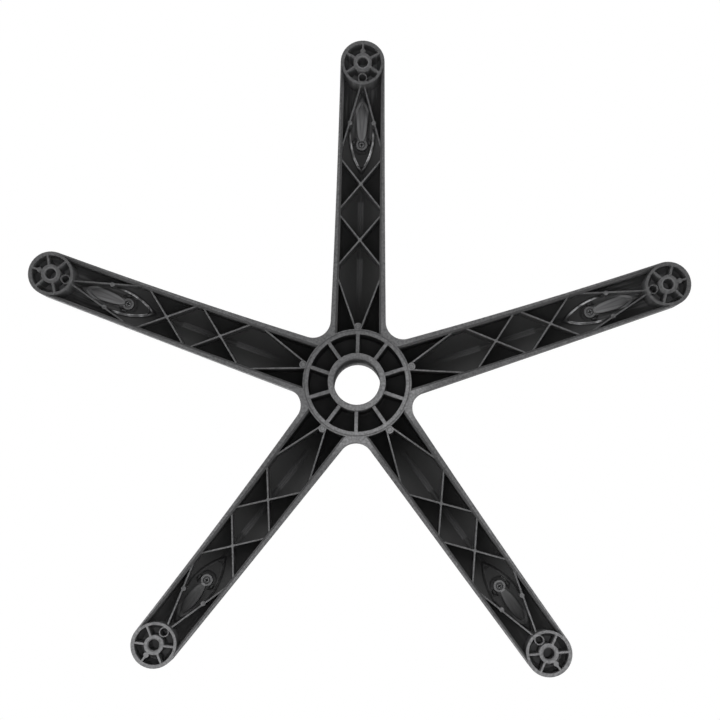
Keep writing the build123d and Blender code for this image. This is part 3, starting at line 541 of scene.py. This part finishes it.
# %% Nylon: the grey of its plain surfaces
INSIDE_GREY = 0.009
CELL_GREY = 0.0095
WALL_GREY = 0.035
HUB_POCKET_GREY = 0.036
BOSS_POCKET_PAINTED_LIGHT_GREY = 0.13
POCKET_ARC_HIGHLIGHT_GREY = 0.2
BORE_GREY = 0.035
BOSS_WALL_GREY = 0.05
OUTSIDE_GREY = 0.026
BEAD_HIGHLIGHT_GREY = 0.075
TONGUE_HIGHLIGHT_GREY = 0.13
WELL_EDGE_HIGHLIGHT_GREY = 0.9
SCREW_BOSS_GREY = 0.11
STREAK_GREY = 0.02
POCKET_ARC_LINE = (15.3, 0.8, 0.3)
POCKET_ARC_FADE = (4, 9)
SCREW_REACH = 251.5 * MM
SCREW_BOSS_FADE = (6.3, 5.9)

# A painted highlight: a light arc on the tip side of each caster socket, 15.3 mm from its axis
pocket_arc_highlight = socket_reach.near_mm(*POCKET_ARC_LINE) * from_socket.fade_mm(*POCKET_ARC_FADE)
screw_boss = length(along - SCREW_REACH, across).fade_mm(*SCREW_BOSS_FADE) * facing_down

plain_grey = cell * (CELL_GREY - INSIDE_GREY) + INSIDE_GREY
plain_grey = plain_grey.towards(WALL_GREY, 1 - facing_down)
plain_grey = plain_grey.towards(HUB_POCKET_GREY, hub_pocket)
# Painted light: the deep pockets of the caster bosses are made pale, as if light reached deep into them
plain_grey = plain_grey.towards(BOSS_POCKET_PAINTED_LIGHT_GREY, boss_pocket)
plain_grey = plain_grey + pocket_arc_highlight * POCKET_ARC_HIGHLIGHT_GREY
plain_grey = plain_grey.towards(BORE_GREY, bore)
plain_grey = plain_grey.towards(BOSS_WALL_GREY, boss_wall)
plain_grey = plain_grey.towards(OUTSIDE_GREY, outside)
# Painted highlights along the bead's edges
plain_grey = plain_grey + bead_line * bead_highlight * BEAD_HIGHLIGHT_GREY
# Painted highlights: the pale shape on the tongue and the broken line along the well's edge
plain_grey = plain_grey + tongue_highlight * TONGUE_HIGHLIGHT_GREY + well_edge_highlight * highlight_breaks * WELL_EDGE_HIGHLIGHT_GREY
# Painted light: the screw bosses of the two lower arms are paler still
plain_grey = plain_grey.towards((1 + lower * 0.7) * SCREW_BOSS_GREY, screw_boss)
plain_grey = plain_grey + streaks * STREAK_GREY

# %% Nylon: the grey of its rims, with painted light round the hub and on the two lower arms
RIM_GREY = 0.105
SPECKLE_GREY = 0.2
LOWER_ARM_FADE = (100, 240)
LOWER_ARM_PAINTED_LIGHT = 0.45
AT_TIP_FADE = (270, 310)
LOWER_TIP_PAINTED_LIGHT = 1.25
HUB_PAINTED_LIGHT = 0.9
HUB_PAINTED_LIGHT_FADE = (85, 60)
LOWER_RIGHT = (TO_RIGHT * 0.6 - TO_TOP * 0.8).normalized()
LOWER_RIGHT_FADE = (-40, 60)
RING_STEP_LINE = (54.4, 0.9, 0.3)
ROOT_PAD_REACH = 58.7 * MM
ROOT_PAD_LINE = (2.4, 0.6, 0.2)

at_tip = along.fade_mm(*AT_TIP_FADE)
# Painted light on the rims of the two lower arms, stronger at their tips
lower_arm_painted_light = along.fade_mm(*LOWER_ARM_FADE) * LOWER_ARM_PAINTED_LIGHT + at_tip * LOWER_TIP_PAINTED_LIGHT
# Painted light on the rims round the hub, strongest towards the lower right of the view
hub_painted_light = vector_step(tree, "DOT_PRODUCT", {0: place, 1: LOWER_RIGHT}, "Value")
hub_painted_light = hub_painted_light.fade_mm(*LOWER_RIGHT_FADE) * HUB_PAINTED_LIGHT + 0.1
# A painted shadow line along the step where the hub's ring stands proud
ring_step_shadow = reach.near_mm(*RING_STEP_LINE)
pad_mark = length(along - ROOT_PAD_REACH, across).near_mm(*ROOT_PAD_LINE)

rim_grey = ((speckle - 0.5) * SPECKLE_GREY + RIM_GREY) * (1 - at_tip * 0.25)
rim_grey = rim_grey * (1 + lower * lower_arm_painted_light)
rim_grey = rim_grey * (1 - ring_step_shadow * 0.35) * (1 - pad_mark * 0.5)
rim_grey = rim_grey * (1 + hub_painted_light * reach.fade_mm(*HUB_PAINTED_LIGHT_FADE))
grey = plain_grey.towards(rim_grey, rim_faces) * (clouds * 0.5 + 0.75)

# %% [markdown]
# ### Gloss and relief
#
# A moulded edge is never quite sharp, and catches a thin line of light. The Bevel node rounds the shading of
# the edges, and leaves the solid's own mesh as it is.

# %% Nylon: gloss and relief
BEAD_HEIGHT = 0.9 * MM
WELL_FOOT_HEIGHT = 1.0 * MM
TONGUE_HEIGHT = 1.2 * MM
EDGE_RADIUS = 1.0 * MM
EDGE_SAMPLES = 4

roughness = outside * 0.36 + rim_faces * 0.2 + clouds * 0.1 + cell * 0.35 + pocket * 0.3 + bore * 0.2 + 0.24
height = bead * BEAD_HEIGHT + well_foot * WELL_FOOT_HEIGHT + tongue_keel * TONGUE_HEIGHT
height = height + grain * (outside * 0.03 + rim_faces * 0.05 + 0.01) * MM
edges = add_node(tree, "ShaderNodeBevel", {"samples": EDGE_SAMPLES}, {"Radius": EDGE_RADIUS})
fill_finish(nylon, grey, roughness, height, edges)

# %% [markdown]
# ## The steel of the screws
#
# The screws are blackened steel. The finish makes the head's face a dull grey and the recess near black.
# The recess is cut in the solid, and the finish only darkens it, by its place round the screw's axis.
# Blackening dulls the steel's own shine, so the shader makes it only partly metallic.

# %% Steel
STEEL_GREY = 0.2
RECESS_GREY = 0.01
RECESS_WIDTH_FADE = (0.75, 0.45)
RECESS_LENGTH_FADE = (2.2, 1.9)
TURNING_SCALE = 900.0
TURNING_DEPTH = 0.03 * MM
STEEL_METALLIC = 0.3

steel, tree = new_finish("screw_steel")
place, _, along, across, _ = arm_places(tree)
from_screw = along - SCREW_REACH
narrow = from_screw.then("ABSOLUTE").or_less(across.then("ABSOLUTE"))
recess = narrow.fade_mm(*RECESS_WIDTH_FADE) * length(from_screw, across).fade_mm(*RECESS_LENGTH_FADE)
turned = noise(tree, place, TURNING_SCALE, 3.0)
grey = ((RECESS_GREY - STEEL_GREY) * recess + STEEL_GREY) * (turned * 0.7 + 0.65)
roughness = turned * 0.2 + recess * 0.3 + 0.35
shader = fill_finish(steel, grey, roughness, turned * TURNING_DEPTH)
shader.inputs["Metallic"].default_value = STEEL_METALLIC

# %% [markdown]
# ## The plastic of the foot pads
#
# The pads are a softer black plastic with a coarse leather grain, so that a shoe does not slip on them. A
# noise would give soft lumps. The distance to the edges of Voronoi cells gives small plateaus with creases
# between them, as in leather.

# %% Pads
PAD_GREY = 0.018
PAD_CLOUD_SCALE = 60.0
LEATHER_SCALE = 900.0
LEATHER_CREASE = 0.15
LEATHER_DEPTH = 0.4 * MM

pad_plastic, tree = new_finish("pad_plastic")
place = add_node(tree, "ShaderNodeTexCoord", output="Object")
cells = {"Vector": place, "Scale": LEATHER_SCALE}
leather = add_node(tree, "ShaderNodeTexVoronoi", {"feature": "DISTANCE_TO_EDGE"}, cells)
clouds = noise(tree, place, PAD_CLOUD_SCALE, 4.0)
grey = (clouds * 0.5 + 0.75) * PAD_GREY
roughness = clouds * 0.15 + 0.45
fill_finish(pad_plastic, grey, roughness, leather.or_less(LEATHER_CREASE) * LEATHER_DEPTH)

# %% [markdown]
# ## The finishes go on
#
# The solids are used as they are, so each one only gets its finish, by the start of its name.

# %% Finishes on their nodes
FINISHES = {"base_moulding": nylon, "foot_pad": pad_plastic, "pad_screw": steel}
for name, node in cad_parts.items():
    finish = next(FINISHES[start] for start in FINISHES if name.startswith(start))
    node.data.materials.clear()
    node.data.materials.append(finish)
    print(name, "has", finish.name)

# %% [markdown]
# ## The end
#
# Nothing is left selected, and the view transform is set to Standard.

# %% The end
bpy.ops.object.select_all(action="DESELECT")
bpy.context.scene.view_settings.view_transform = "Standard"
